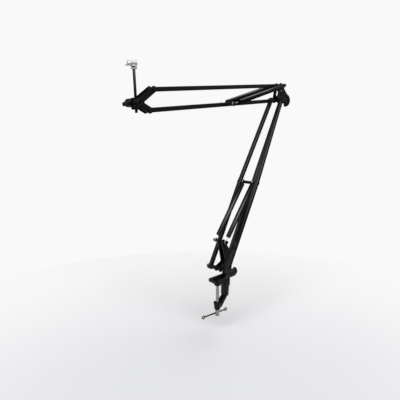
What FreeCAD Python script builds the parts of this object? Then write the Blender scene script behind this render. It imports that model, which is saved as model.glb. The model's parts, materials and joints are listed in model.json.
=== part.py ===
import FreeCAD, Part
import math
import os

# Desk boom arm for a microphone, in millimetres and degrees.
# +Z is up, the arm folds in the XZ plane, its hinges lie along Y and the upper arm points to -X.
# The origin is on the face that rests on the table top, straight below the base hinge.

V = FreeCAD.Vector
X_AXIS = V(1, 0, 0)
Y_AXIS = V(0, 1, 0)
Z_AXIS = V(0, 0, 1)

# Lengths and angles of the two arms
LOWER_ARM_LENGTH = 365.0
LOWER_ARM_LEAN = 30.8
MID_PIN_DISTANCE = 179.0
UPPER_ARM_LENGTH = 360.0
UPPER_ARM_DROP = 3.5
SPRING_PIN_DISTANCE = 167.0

# Places of the pivots on the three brackets
PIVOT_SETBACK = 22.6
PIVOT_HEIGHT = 29.0
REAR_LINK_X = 28.0
REAR_LINK_Z = 13.2
TOP_LINK_X = 8.5
TOP_LINK_Z = 30.1
ANCHOR_X = 5.0
ANCHOR_Z = 52.7
HEAD_HUB_X = -22.3
HEAD_HUB_Z = 10.3

# Square tubes of the arms and their end plugs
TUBE_SIDE = 7.0
TUBE_WALL = 0.8
TUBE_CORNER = 0.9
TUBE_BORE_CORNER = 0.1
TUBE_OVERHANG = 4.2
BASE_SPREAD = 20.0
ELBOW_SPREAD = 12.5
ELBOW_RUN = 9.0
PLUG_FLANGE = 0.8
PLUG_STEM = 1.4

# Sheet brackets
SHEET = 1.5
WASHER = 0.6
WASHER_RIM = 2.4
CHEEK_MARGIN = 5.3
WINDOW_STRAP = 4.3
WINDOW_CORNER = 1.4
HEAD_STRAP = 4.8
HEAD_NOSE_RADIUS = 2.7
HEAD_CROOK_RADIUS = 1.5
HEAD_TIP_RADIUS = 4.6
HEAD_HUB_RADIUS = 7.4
ANCHOR_MARGIN = 3.8
BASE_TIP_MARGIN = 5.5
BASE_REAR_MARGIN = 8.5
NOTCH_X = 12.6
NOTCH_Z = 11.0
NOTCH_RADIUS = 3.0
FOOT_HALF_LENGTH = 9.0
FOOT_DEPTH = 9.5
FOOT_CORNER = 2.0

# Bolts, nuts and spacers
MAIN_BOLT = 5.0
SMALL_BOLT = 4.0
RUNNING_CLEARANCE = 0.05
SIDE_PLAY = 0.15
HEAD_HEIGHT = 2.4
HEAD_RIM = 1.6
HEAD_CHAMFER = 0.7
NUT_HEIGHT = 3.2
NUT_RIM = 1.6
STEEL_WASHER = 0.8
STEEL_WASHER_RIM = 1.8
SPACER_WALL = 1.4
PIN_CAP_HEIGHT = 1.2
PIN_CAP_RIM = 1.0
SPREADER_DIAMETER = 6.0
RIVET_HEIGHT = 1.0

# Springs in their sleeves
SLEEVE_DIAMETER = 9.0
SLEEVE_WALL = 1.0
SPRING_CLEARANCE = 0.3
STRETCH_ROOM = 12.0
SPRING_WIRE = 1.6
HOOK_CLEARANCE = 0.2
SLEEVE_START = 5.0
SPRING_START = 8.5
LOWER_SPRING_OFFSET = 11.5
LOWER_MOUTH_GAP = 11.2
LOWER_HOOK_LENGTH = 28.0
UPPER_SPRING_OFFSET = 13.8
UPPER_MOUTH_GAP = 17.8
UPPER_HOOK_LENGTH = 36.0

# Half-moon wing knobs
KNOB_SPAN = 25.0
KNOB_DEPTH = 14.5
KNOB_THICKNESS = 5.0
KNOB_WING_START = 2.5
KNOB_SHOULDER = 7.0
KNOB_RIM = 2.6
KNOB_RECESS = 1.3
KNOB_HUB_DIAMETER = 13.0
KNOB_HUB_LENGTH = 11.0
KNOB_BORE_DEPTH = 9.5
BASE_KNOB_TURN = 68.0
ELBOW_KNOB_TURN = -4.0
HEAD_KNOB_TURN = 79.0

# Rod, its clamp and its fork
ROD_DIAMETER = 4.0
ROD_LEAN = -2.4
ROD_BELOW = 14.0
ROD_ABOVE = 45.8
CLAMP_BOLT = 8.0
CLAMP_BOLT_THREAD = 6.0
CLAMP_BOLT_RIM = 1.6
CLAMP_BOLT_HEAD = 2.5
BLOCK_DEPTH = 11.0
BLOCK_HEIGHT = 16.5
BLOCK_DROP = 1.2
BLOCK_CORNER = 1.2
FORK_TURN = 38.0
FORK_GAP = 4.6
FORK_SHEET = 1.4
FORK_WIDTH = 7.0
FORK_HEIGHT = 12.4
FORK_HOLE_HEIGHT = 8.2
FORK_BASE = 2.0
FORK_HEEL_RADIUS = 0.2
FORK_BOLT_HEAD = 1.2
FORK_BOLT_RIM = 1.2
ROD_NUT_HEIGHT = 2.4
ROD_NUT_DIAMETER = 4.3
ROD_SPIGOT = 2.6
WING_NUT_HUB = 6.4
WING_NUT_HEIGHT = 4.2
WING_SPAN = 13.5
WING_REACH = 8.0
WING_SHEET = 1.4
WING_TIP_RADIUS = 1.5
WING_HEEL_RADIUS = 2.0
WING_ROOT_RADIUS = 0.3
WING_TURN = 60.0

# Table clamp
CLAMP_TURN = -10.0
JAW_PAD = 1.5
JAW_REACH = 34.0
JAW_TIP_HALF_WIDTH = 14.5
JAW_ROOT_HALF_WIDTH = 9.0
JAW_TIP_EDGE = 4.4
JAW_TIP_CROWN = 7.0
JAW_ROOT_EDGE = 9.0
JAW_ROOT_CROWN = 12.0
JAW_TIP_ROUND = 3.5
PAD_MARGIN = 2.0
SOCKET_DIAMETER = 16.0
SOCKET_TOP = 14.0
SOCKET_BOTTOM = -10.0
POST_DIAMETER = 8.0
POST_FLOOR = 2.0
SPINE_FRONT = 5.8
SPINE_HALF_WIDTH = 7.7
SPINE_BACK_TOP = 2.0
SPINE_BACK_BOTTOM = -0.4
SPINE_BOTTOM = -30.0
RIB_HALF_WIDTH = 3.0
RIB_BACK = 7.0
ELBOW_ARM_HALF_WIDTH = 5.6
SCREW_DISTANCE = 21.8
SCREW_DIAMETER = 6.0
BOSS_TOP = -40.5
BOSS_LENGTH = 14.0
BOSS_TOP_DIAMETER = 15.0
BOSS_BOTTOM_DIAMETER = 11.2
SCREW_HEAD_DIAMETER = 8.0
SCREW_HEAD_LENGTH = 12.0
SCREW_HEAD_GAP = 1.0
SCREW_NECK = 5.0
SCREW_NECK_HEIGHT = 1.7
PAD_DIAMETER = 13.0
PAD_HEIGHT = 2.8
PAD_GAP = 2.4
TOMMY_DIAMETER = 3.0
TOMMY_SPAN = 56.5
TOMMY_OFFSET = 6.6
TOMMY_EYE_RADIUS = 2.7
TOMMY_EYE_WIRE = 2.4
TOMMY_EYE_CHAMFER = 0.6

# Pivots, worked out from the lengths above
lean = math.radians(LOWER_ARM_LEAN)
drop = math.radians(UPPER_ARM_DROP)
LOWER_DIRECTION = V(math.sin(lean), 0, math.cos(lean))
UPPER_DIRECTION = V(-math.cos(drop), 0, -math.sin(drop))
REAR_LINK = V(REAR_LINK_X, 0, REAR_LINK_Z)
TOP_LINK = V(TOP_LINK_X, 0, TOP_LINK_Z)

SWIVEL = V(PIVOT_SETBACK, 0, 0)
BASE_PIVOT = V(0, 0, PIVOT_HEIGHT)
BASE_REAR = BASE_PIVOT + REAR_LINK
ANCHOR = BASE_PIVOT + V(ANCHOR_X, 0, ANCHOR_Z)
MID_PIN = BASE_PIVOT + LOWER_DIRECTION * MID_PIN_DISTANCE
ELBOW = BASE_PIVOT + LOWER_DIRECTION * LOWER_ARM_LENGTH
ELBOW_REAR = ELBOW + REAR_LINK
ELBOW_TOP = ELBOW + TOP_LINK
SPRING_PIN = ELBOW + UPPER_DIRECTION * SPRING_PIN_DISTANCE
HEAD_LOW = ELBOW + UPPER_DIRECTION * UPPER_ARM_LENGTH
HEAD_TOP = HEAD_LOW + TOP_LINK
HEAD_HUB = HEAD_LOW + V(HEAD_HUB_X, 0, HEAD_HUB_Z)

# Stack of layers on each hinge, counted outwards from the arm's middle plane
TUBE_HALF = TUBE_SIDE / 2
CHEEK_INNER = TUBE_HALF + WASHER + SIDE_PLAY
CHEEK_OUTER = CHEEK_INNER + SHEET


def at(point, y):
    """The point moved to the distance y from the arm's middle plane."""
    return V(point.x, y, point.z)


def turned(shape, angle, axis, centre):
    """The shape turned about an axis through centre."""
    copy = shape.copy()
    copy.rotate(centre, axis, angle)
    return copy


def rod_along_y(point, radius, y_from, y_to):
    """A round rod along Y through a pivot."""
    return Part.makeCylinder(radius, abs(y_to - y_from), at(point, min(y_from, y_to)), Y_AXIS)


def ring_along_y(point, inner, outer, y_from, y_to):
    """A washer or spacer along Y round a pivot."""
    return rod_along_y(point, outer, y_from, y_to).cut(rod_along_y(point, inner, y_from, y_to))


def hexagon_along_y(point, radius, bore, y_from, y_to):
    """A hexagon nut along Y round a pivot."""
    corners = [
        at(point, min(y_from, y_to))
        + V(radius * math.cos(math.radians(60 * k)), 0, radius * math.sin(math.radians(60 * k)))
        for k in range(7)
    ]
    body = Part.Face(Part.makePolygon(corners)).extrude(Y_AXIS * abs(y_to - y_from))
    return body.cut(rod_along_y(point, bore, y_from, y_to))


def rounded_outline(corners):
    """A closed wire through corner points, each rounded to its own radius."""
    arcs = []
    for i, (corner, radius) in enumerate(corners):
        before = (corners[i - 1][0] - corner).normalize()
        after = (corners[(i + 1) % len(corners)][0] - corner).normalize()
        half = before.getAngle(after) / 2
        reach = radius / math.tan(half)
        middle = corner + (before + after).normalize() * (radius / math.sin(half) - radius)
        arcs.append((corner + before * reach, middle, corner + after * reach))
    edges = []
    for i, (start, middle, end) in enumerate(arcs):
        edges.append(Part.Arc(start, middle, end).toShape())
        edges.append(Part.makeLine(end, arcs[(i + 1) % len(arcs)][0]))
    return Part.Wire(edges)


def square_outline(centre, across, side, radius):
    """A rounded square in the plane of across and Y."""
    a = across * (side / 2)
    b = Y_AXIS * (side / 2)
    return rounded_outline([
        (centre + a + b, radius),
        (centre - a + b, radius),
        (centre - a - b, radius),
        (centre + a - b, radius),
    ])


def across_of(direction):
    """The direction square to a bar, in the plane of the arm."""
    return V(direction.z, 0, -direction.x)


def tube_bar(stations, direction, pivots):
    """A square tube through its stations, drilled along Y at each pivot for a bolt of the given size."""
    across = across_of(direction)

    def run(side, corner):
        """The full length of a square rod through the stations."""
        lengths = [
            Part.Face(square_outline(a, across, side, corner)).extrude(b - a)
            for a, b in zip(stations, stations[1:])
        ]
        return lengths[0].fuse(lengths[1:]) if len(lengths) > 1 else lengths[0]

    outside = run(TUBE_SIDE, TUBE_CORNER)
    inside = run(TUBE_SIDE - 2 * TUBE_WALL, TUBE_BORE_CORNER)
    for point, bolt in pivots:
        outside = outside.cut(rod_along_y(point, bolt / 2 + RUNNING_CLEARANCE, -2 * BASE_SPREAD, 2 * BASE_SPREAD))
    return outside.cut(inside)


def end_plug(end, outward):
    """A plastic plug in the end of a tube: a flange on the rim and a stem in the bore."""
    across = across_of(outward)
    flange = Part.Face(square_outline(end, across, TUBE_SIDE, TUBE_CORNER)).extrude(outward * PLUG_FLANGE)
    stem_side = TUBE_SIDE - 2 * TUBE_WALL - 2 * RUNNING_CLEARANCE
    stem = Part.Face(square_outline(end, across, stem_side, TUBE_BORE_CORNER)).extrude(outward * -PLUG_STEM)
    return flange.fuse(stem)


def straight_bar(start, end, bolts):
    """A straight tube between two pivots, and its two end plugs."""
    direction = (end - start).normalize()
    first = start - direction * TUBE_OVERHANG
    last = end + direction * TUBE_OVERHANG
    bar = tube_bar([first, last], direction, bolts)
    return bar, [end_plug(first, direction * -1), end_plug(last, direction)]


def outer_bar(side):
    """One bar of the lower arm's outer pair: parallel to the other at both ends, drawn in above the mid pin."""
    first = at(BASE_PIVOT - LOWER_DIRECTION * TUBE_OVERHANG, side * BASE_SPREAD)
    bend = at(MID_PIN, side * BASE_SPREAD)
    straight = at(ELBOW - LOWER_DIRECTION * ELBOW_RUN, side * ELBOW_SPREAD)
    last = at(ELBOW + LOWER_DIRECTION * TUBE_OVERHANG, side * ELBOW_SPREAD)
    bolts = [(BASE_PIVOT, MAIN_BOLT), (MID_PIN, SMALL_BOLT), (ELBOW, MAIN_BOLT)]
    bar = tube_bar([first, bend, straight, last], LOWER_DIRECTION, bolts)
    return bar, [end_plug(first, LOWER_DIRECTION * -1), end_plug(last, LOWER_DIRECTION)]


def offset_corners(points, distance):
    """Corners of a triangle in the XZ plane moved out by a distance, or in where it is negative."""
    centre = (points[0] + points[1] + points[2]) * (1 / 3)
    lines = []
    for i, start in enumerate(points):
        end = points[(i + 1) % 3]
        normal = across_of((end - start).normalize())
        if normal.dot(start - centre) < 0:
            normal = normal * -1
        lines.append((normal, normal.dot(start) + distance))
    corners = []
    for i in range(3):
        (m, p), (n, q) = lines[i - 1], lines[i]
        scale = m.x * n.z - m.z * n.x
        corners.append(V((p * n.z - q * m.z) / scale, 0, (m.x * q - n.x * p) / scale))
    return corners


def plate(wire, y_from):
    """A sheet part cut along a wire in the arm's middle plane, with its first face at y_from."""
    face = Part.Face(wire)
    face.translate(Y_AXIS * y_from)
    return face.extrude(Y_AXIS * SHEET)


def pair_of_plates(wire, holes, hub=None):
    """The far and the near cheek of a bracket, drilled along Y: holes are (pivot, bolt size)."""
    far = plate(wire, CHEEK_INNER)
    if hub:
        far = far.fuse(hub).removeSplitter()
    near = far.copy()
    near.translate(Y_AXIS * -(CHEEK_INNER + CHEEK_OUTER))
    cheeks = []
    for cheek in (far, near):
        for point, bolt in holes:
            cheek = cheek.cut(rod_along_y(point, bolt / 2 + RUNNING_CLEARANCE, -CHEEK_OUTER, CHEEK_OUTER))
        cheeks.append(cheek)
    return cheeks


def bracket_bolt(point, size):
    """A bolt across a bracket: a round head outside the near cheek, and the shank past its nut."""
    shank = rod_along_y(point, size / 2, -CHEEK_OUTER, CHEEK_OUTER + NUT_HEIGHT + size / 4)
    return shank.fuse(bolt_head(point, size, -CHEEK_OUTER, -1))


def bolt_head(point, size, y, side):
    """A round bolt head with a softened rim, from y outwards on one side."""
    radius = size / 2 + HEAD_RIM
    straight = HEAD_HEIGHT - HEAD_CHAMFER
    head = rod_along_y(point, radius, y, y + side * straight)
    rim = Part.makeCone(radius, radius - HEAD_CHAMFER, HEAD_CHAMFER, at(point, y + side * straight), Y_AXIS * side)
    return head.fuse(rim)


def bracket_nut(point, size):
    """The nut of a bracket bolt, outside the far cheek."""
    bore = size / 2 + RUNNING_CLEARANCE
    return hexagon_along_y(point, size / 2 + NUT_RIM, bore, CHEEK_OUTER, CHEEK_OUTER + NUT_HEIGHT)


def bracket_washers(point, size):
    """Two plastic washers that keep a bar off the cheeks."""
    inner = size / 2 + RUNNING_CLEARANCE
    outer = size / 2 + WASHER_RIM
    return [
        ring_along_y(point, inner, outer, side * (CHEEK_INNER - WASHER), side * CHEEK_INNER)
        for side in (1, -1)
    ]


def capped_pin(point, size, half_length):
    """A cross pin with a round cap on each end."""
    pin = rod_along_y(point, size / 2, -half_length, half_length)
    for side in (1, -1):
        cap = rod_along_y(
            point, size / 2 + PIN_CAP_RIM, side * (half_length - PIN_CAP_HEIGHT), side * half_length
        )
        pin = pin.fuse(cap)
    return pin


def anchor_pin(side):
    """A spring anchor of the base bracket: a pin riveted through one cheek, with a round cap outside."""
    inside = CHEEK_INNER - RIVET_HEIGHT
    outside = BASE_SPREAD - TUBE_HALF - 4 * SIDE_PLAY
    radius = SMALL_BOLT / 2 + PIN_CAP_RIM
    pin = rod_along_y(ANCHOR, SMALL_BOLT / 2, side * inside, side * outside)
    cap = rod_along_y(ANCHOR, radius, side * (outside - PIN_CAP_HEIGHT), side * outside)
    rivet = rod_along_y(ANCHOR, radius, side * inside, side * CHEEK_INNER)
    return pin.fuse([cap, rivet])


def spreader_pin():
    """The cross pin of the outer bars: a thick middle between them, thin ends riveted over outside."""
    room = BASE_SPREAD - TUBE_HALF - SIDE_PLAY
    outside = BASE_SPREAD + TUBE_HALF + SIDE_PLAY
    end = outside + RIVET_HEIGHT
    pin = rod_along_y(MID_PIN, SPREADER_DIAMETER / 2, -room, room).fuse(
        rod_along_y(MID_PIN, SMALL_BOLT / 2, -end, end)
    )
    for side in (1, -1):
        pin = pin.fuse(rod_along_y(MID_PIN, SMALL_BOLT / 2 + PIN_CAP_RIM, side * outside, side * end))
    return pin


def wire_eye(point, size):
    """A closed eye round a pin along Y, and the radius of its middle line."""
    bend = size / 2 + HOOK_CLEARANCE + SPRING_WIRE / 2
    half = SPRING_WIRE / 2
    return ring_along_y(point, bend - half, bend + half, point.y - half, point.y + half), bend


def sleeve(start, direction, length):
    """A plain tube over a spring, from a little past the pin at start."""
    first = start + direction * SLEEVE_START
    outer = Part.makeCylinder(SLEEVE_DIAMETER / 2, length, first, direction)
    inner = Part.makeCylinder(SLEEVE_DIAMETER / 2 - SLEEVE_WALL, length, first, direction)
    return outer.cut(inner)


def spring(start, size, direction, last):
    """A close-wound tension spring: an eye on its pin, a neck and the coil, up to the distance last."""
    eye, bend = wire_eye(start, size)
    neck = Part.makeCylinder(SPRING_WIRE / 2, SPRING_START - bend + SPRING_WIRE, start + direction * bend, direction)
    radius = SLEEVE_DIAMETER / 2 - SLEEVE_WALL - SPRING_CLEARANCE
    coil = Part.makeCylinder(radius, last - SPRING_START, start + direction * SPRING_START, direction)
    return coil.fuse([neck, eye])


def spring_hook(pin, direction, length):
    """The long hook at a spring's other end: an eye on its pin and a straight wire into the sleeve."""
    eye, bend = wire_eye(pin, SMALL_BOLT)
    wire = Part.makeCylinder(SPRING_WIRE / 2, length - bend, pin + direction * bend, direction)
    return wire.fuse(eye)


def spring_set(pin, pin_size, hook_pin, offset, mouth_gap, hook_length):
    """Sleeves, springs and hooks of one arm, far then near, lying beside the arm's middle plane."""
    span = (hook_pin - pin).Length
    direction = (hook_pin - pin).normalize()
    sleeve_length = span - SLEEVE_START - mouth_gap
    coil_end = span - hook_length - STRETCH_ROOM
    sleeves, springs, hooks = [], [], []
    for y in (offset, -offset):
        sleeves.append(sleeve(at(pin, y), direction, sleeve_length))
        springs.append(spring(at(pin, y), pin_size, direction, coil_end))
        hooks.append(spring_hook(at(hook_pin, y), direction * -1, hook_length))
    return sleeves, springs, hooks


def wing_knob(point, y, side, turn, bolt):
    """A moulded wing knob on a bolt end: a round hub and a half-moon wing with a raised rim."""
    half = KNOB_SPAN / 2

    def half_moon(inset, thickness):
        left = V(inset - half, 0, KNOB_WING_START + inset)
        right = V(half - inset, 0, KNOB_WING_START + inset)
        rise = V(0, 0, KNOB_SHOULDER - KNOB_WING_START - inset)
        top = V(0, 0, KNOB_DEPTH - inset)
        edges = [
            Part.makeLine(left, right),
            Part.makeLine(right, right + rise),
            Part.Arc(right + rise, top, left + rise).toShape(),
            Part.makeLine(left + rise, left),
        ]
        face = Part.Face(Part.Wire(edges))
        face.translate(Y_AXIS * (-thickness / 2))
        return face.extrude(Y_AXIS * thickness)

    hub = Part.makeCylinder(KNOB_HUB_DIAMETER / 2, KNOB_HUB_LENGTH)
    pocket = half_moon(KNOB_RIM, KNOB_THICKNESS).cut(half_moon(KNOB_RIM, KNOB_THICKNESS - 2 * KNOB_RECESS))
    knob = half_moon(0, KNOB_THICKNESS).cut(pocket).fuse(hub)
    knob = knob.cut(Part.makeCylinder(bolt / 2 + RUNNING_CLEARANCE, KNOB_BORE_DEPTH)).removeSplitter()
    knob = turned(knob, -90 * side, X_AXIS, V(0, 0, 0))
    knob = turned(knob, 90 + turn, Y_AXIS, V(0, 0, 0))
    knob.translate(at(point, y))
    return knob


def pivot_bolt(point, y_head, y_end):
    """A main hinge bolt: its head on the far side, its thread ending in the knob on the near side."""
    shank = rod_along_y(point, MAIN_BOLT / 2, y_end, y_head)
    return shank.fuse(bolt_head(point, MAIN_BOLT, y_head, 1))


def main_spacers(point, spread):
    """Spacer sleeves between a bracket's cheeks and the outer bars."""
    inner = MAIN_BOLT / 2 + RUNNING_CLEARANCE
    outer = MAIN_BOLT / 2 + SPACER_WALL
    reach = spread - TUBE_HALF - SIDE_PLAY
    return [ring_along_y(point, inner, outer, side * CHEEK_OUTER, side * reach) for side in (1, -1)]


def outer_washers(point, spread):
    """Steel washers outside the two outer bars."""
    inner = MAIN_BOLT / 2 + RUNNING_CLEARANCE
    outer = MAIN_BOLT / 2 + STEEL_WASHER_RIM
    start = spread + TUBE_HALF + SIDE_PLAY
    return [ring_along_y(point, inner, outer, side * start, side * (start + STEEL_WASHER)) for side in (1, -1)]


def seat_of_knob(spread):
    """Distance of a main bolt's head and knob from the middle plane."""
    return spread + TUBE_HALF + SIDE_PLAY + STEEL_WASHER


def base_bracket():
    """The lower bracket: two three-cornered cheeks bent up from one foot, drilled for the swivel post."""
    foot_centre = SWIVEL + Z_AXIS * (BASE_PIVOT.z - FOOT_DEPTH)
    left = foot_centre - X_AXIS * FOOT_HALF_LENGTH
    right = foot_centre + X_AXIS * FOOT_HALF_LENGTH
    corners = [
        (ANCHOR + V(-ANCHOR_MARGIN, 0, ANCHOR_MARGIN), ANCHOR_MARGIN * 0.9),
        (BASE_PIVOT + V(NOTCH_X, 0, NOTCH_Z), NOTCH_RADIUS),
        (BASE_PIVOT + V(-BASE_TIP_MARGIN, 0, BASE_TIP_MARGIN * 0.8), BASE_TIP_MARGIN * 0.6),
        (BASE_PIVOT + V(-BASE_TIP_MARGIN, 0, -BASE_TIP_MARGIN), BASE_TIP_MARGIN * 0.8),
        (BASE_PIVOT + V(BASE_TIP_MARGIN, 0, -BASE_TIP_MARGIN), FOOT_CORNER),
        (left, FOOT_CORNER),
        (right, FOOT_CORNER),
        (BASE_REAR + V(BASE_REAR_MARGIN, 0, -BASE_REAR_MARGIN * 0.4), BASE_REAR_MARGIN * 0.6),
        (BASE_REAR + V(BASE_REAR_MARGIN * 0.8, 0, BASE_REAR_MARGIN * 0.7), BASE_REAR_MARGIN * 0.6),
        (ANCHOR + V(ANCHOR_MARGIN, 0, ANCHOR_MARGIN), ANCHOR_MARGIN * 0.9),
    ]
    holes = [(BASE_PIVOT, MAIN_BOLT), (BASE_REAR, SMALL_BOLT), (ANCHOR, SMALL_BOLT)]
    far, near = pair_of_plates(rounded_outline(corners), holes)
    length = 2 * FOOT_HALF_LENGTH - 2 * FOOT_CORNER
    foot = Part.makeBox(length, 2 * CHEEK_INNER, SHEET, foot_centre - V(length / 2, CHEEK_INNER, 0))
    bracket = far.fuse([near, foot])
    hole_radius = POST_DIAMETER / 2 - SHEET + RUNNING_CLEARANCE
    post_hole = Part.makeCylinder(hole_radius, FOOT_DEPTH, foot_centre - Z_AXIS * SHEET)
    return bracket.cut(post_hole).removeSplitter()


def swivel_post():
    """The round post under the foot, which turns in the clamp's socket; its top is riveted in the foot."""
    foot = BASE_PIVOT.z - FOOT_DEPTH
    bottom = SOCKET_BOTTOM + POST_FLOOR + SIDE_PLAY
    post = Part.makeCylinder(POST_DIAMETER / 2, foot - bottom, SWIVEL + Z_AXIS * bottom)
    rivet = Part.makeCylinder(POST_DIAMETER / 2 - SHEET, SHEET + SIDE_PLAY, SWIVEL + Z_AXIS * foot)
    return post.fuse(rivet)


def elbow_cheeks():
    """Two three-cornered plates with a window, which carry both arms at the elbow."""
    corners = [ELBOW, ELBOW_REAR, ELBOW_TOP]
    outline = rounded_outline([(c, CHEEK_MARGIN) for c in offset_corners(corners, CHEEK_MARGIN)])
    window = rounded_outline([(c, WINDOW_CORNER) for c in offset_corners(corners, -WINDOW_STRAP)])
    holes = [(ELBOW, MAIN_BOLT), (ELBOW_REAR, SMALL_BOLT), (ELBOW_TOP, SMALL_BOLT)]
    cheeks = pair_of_plates(outline, holes)
    return [cheek.cut(plate(window, y)) for cheek, y in zip(cheeks, (CHEEK_INNER, -CHEEK_OUTER))]


def head_cheeks():
    """Two V-shaped plates at the end of the upper arm, with their nose round the rod clamp."""
    upper = (HEAD_TOP - HEAD_HUB).normalize()
    lower = (HEAD_LOW - HEAD_HUB).normalize()
    outward = (upper + lower).normalize() * -1
    half = upper.getAngle(lower) / 2
    reach = outward * (HEAD_STRAP / math.sin(half))
    up = across_of(upper) * -HEAD_STRAP
    down = across_of(lower) * HEAD_STRAP
    corners = [
        (HEAD_HUB + reach, HEAD_NOSE_RADIUS),
        (HEAD_TOP + up + upper * HEAD_STRAP, HEAD_TIP_RADIUS),
        (HEAD_TOP - up + upper * HEAD_STRAP, HEAD_TIP_RADIUS),
        (HEAD_HUB - reach, HEAD_CROOK_RADIUS),
        (HEAD_LOW - down + lower * HEAD_STRAP, HEAD_TIP_RADIUS),
        (HEAD_LOW + down + lower * HEAD_STRAP, HEAD_TIP_RADIUS),
    ]
    holes = [(HEAD_HUB, CLAMP_BOLT), (HEAD_TOP, SMALL_BOLT), (HEAD_LOW, SMALL_BOLT)]
    hub = rod_along_y(HEAD_HUB, HEAD_HUB_RADIUS, CHEEK_INNER, CHEEK_OUTER)
    return pair_of_plates(rounded_outline(corners), holes, hub)


def on_rod(shape):
    """Moves a shape made on an upright rod at the origin to the leaning rod at the head."""
    moved = turned(shape, ROD_LEAN, Y_AXIS, V(0, 0, 0))
    moved.translate(HEAD_HUB)
    return moved


def on_fork(shape):
    """Turns a shape of the fork about the upright rod, then moves it to the leaning rod."""
    return on_rod(turned(shape, FORK_TURN, Z_AXIS, V(0, 0, 0)))


def rod_bore(below, above):
    """The round way of the rod through its clamp, on the upright rod."""
    radius = ROD_DIAMETER / 2 + RUNNING_CLEARANCE
    return Part.makeCylinder(radius, above + below, V(0, 0, -below))


def rod_clamp_block():
    """The block between the head's cheeks, bored along Y for the clamp bolt and upright for the rod."""
    width = 2 * (CHEEK_INNER - SIDE_PLAY)
    corner = V(-BLOCK_DEPTH / 2, -width / 2, -BLOCK_HEIGHT / 2 - BLOCK_DROP)
    block = Part.makeBox(BLOCK_DEPTH, width, BLOCK_HEIGHT, corner)
    upright = [e for e in block.Edges if abs(e.Length - width) < 1e-6]
    block = block.makeFillet(BLOCK_CORNER, upright)
    block = block.cut(rod_along_y(V(0, 0, 0), CLAMP_BOLT / 2 + RUNNING_CLEARANCE, -width, width))
    return on_rod(block.cut(rod_bore(BLOCK_HEIGHT, BLOCK_HEIGHT)))


def rod_clamp_bolt():
    """The clamp bolt: a head on the near side, a thick shank with the rod's cross hole, a thread for the knob."""
    y_head = -(CHEEK_OUTER + SIDE_PLAY)
    y_shoulder = CHEEK_OUTER + SIDE_PLAY
    origin = V(0, 0, 0)
    shank = rod_along_y(origin, CLAMP_BOLT / 2, y_head, y_shoulder)
    radius = CLAMP_BOLT / 2 + CLAMP_BOLT_RIM
    y_rim = y_head - CLAMP_BOLT_HEAD + HEAD_CHAMFER
    head = rod_along_y(origin, radius, y_rim, y_head)
    head = head.fuse(Part.makeCone(radius, radius - HEAD_CHAMFER, HEAD_CHAMFER, at(origin, y_rim), Y_AXIS * -1))
    thread_end = y_shoulder + STEEL_WASHER + KNOB_BORE_DEPTH - SIDE_PLAY
    thread = rod_along_y(origin, CLAMP_BOLT_THREAD / 2, y_shoulder, thread_end)
    bolt = shank.fuse([head, thread]).cut(rod_bore(BLOCK_HEIGHT, BLOCK_HEIGHT))
    return on_rod(bolt)


def mic_rod():
    """The round rod that carries the microphone, with a spigot for the fork."""
    rod = Part.makeCylinder(ROD_DIAMETER / 2, ROD_BELOW + ROD_ABOVE, V(0, 0, -ROD_BELOW))
    spigot_length = FORK_BASE + ROD_NUT_HEIGHT - SIDE_PLAY
    spigot = Part.makeCylinder(ROD_SPIGOT / 2, spigot_length, V(0, 0, ROD_ABOVE))
    return on_rod(rod.fuse(spigot))


def mic_fork():
    """The U-shaped fork on the rod's top, with round ends and a cross hole."""
    outer = FORK_GAP / 2 + FORK_SHEET
    radius = FORK_WIDTH / 2
    base = Part.makeBox(FORK_WIDTH, 2 * outer, FORK_BASE, V(-radius, -outer, ROD_ABOVE + SIDE_PLAY))
    fork = base
    for side in (1, -1):
        y_from = min(side * outer, side * FORK_GAP / 2)
        corners = [
            (V(-radius, y_from, ROD_ABOVE + SIDE_PLAY), FORK_HEEL_RADIUS),
            (V(radius, y_from, ROD_ABOVE + SIDE_PLAY), FORK_HEEL_RADIUS),
            (V(radius, y_from, ROD_ABOVE + FORK_HEIGHT), radius * 0.98),
            (V(-radius, y_from, ROD_ABOVE + FORK_HEIGHT), radius * 0.98),
        ]
        fork = fork.fuse(Part.Face(rounded_outline(corners)).extrude(Y_AXIS * FORK_SHEET))
    spigot_hole = Part.makeCylinder(ROD_SPIGOT / 2 + RUNNING_CLEARANCE, FORK_HEIGHT, V(0, 0, ROD_ABOVE))
    cross = rod_along_y(V(0, 0, ROD_ABOVE + FORK_HOLE_HEIGHT), SMALL_BOLT / 2 + RUNNING_CLEARANCE, -outer, outer)
    return on_fork(fork.cut(spigot_hole).cut(cross).removeSplitter())


def rod_nut():
    """The round nut inside the fork that holds it on the rod's spigot."""
    floor = V(0, 0, ROD_ABOVE + SIDE_PLAY + FORK_BASE)
    nut = Part.makeCylinder(ROD_NUT_DIAMETER / 2, ROD_NUT_HEIGHT, floor)
    return on_rod(nut.cut(Part.makeCylinder(ROD_SPIGOT / 2 + RUNNING_CLEARANCE, ROD_NUT_HEIGHT, floor)))


def fork_bolt():
    """The bolt across the fork, with its low head on the near side."""
    centre = V(0, 0, ROD_ABOVE + FORK_HOLE_HEIGHT)
    outer = FORK_GAP / 2 + FORK_SHEET
    shank = rod_along_y(centre, SMALL_BOLT / 2, -outer, outer + WING_NUT_HEIGHT + SMALL_BOLT / 4)
    head = rod_along_y(centre, SMALL_BOLT / 2 + FORK_BOLT_RIM, -outer - FORK_BOLT_HEAD, -outer)
    return on_fork(shank.fuse(head))


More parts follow.
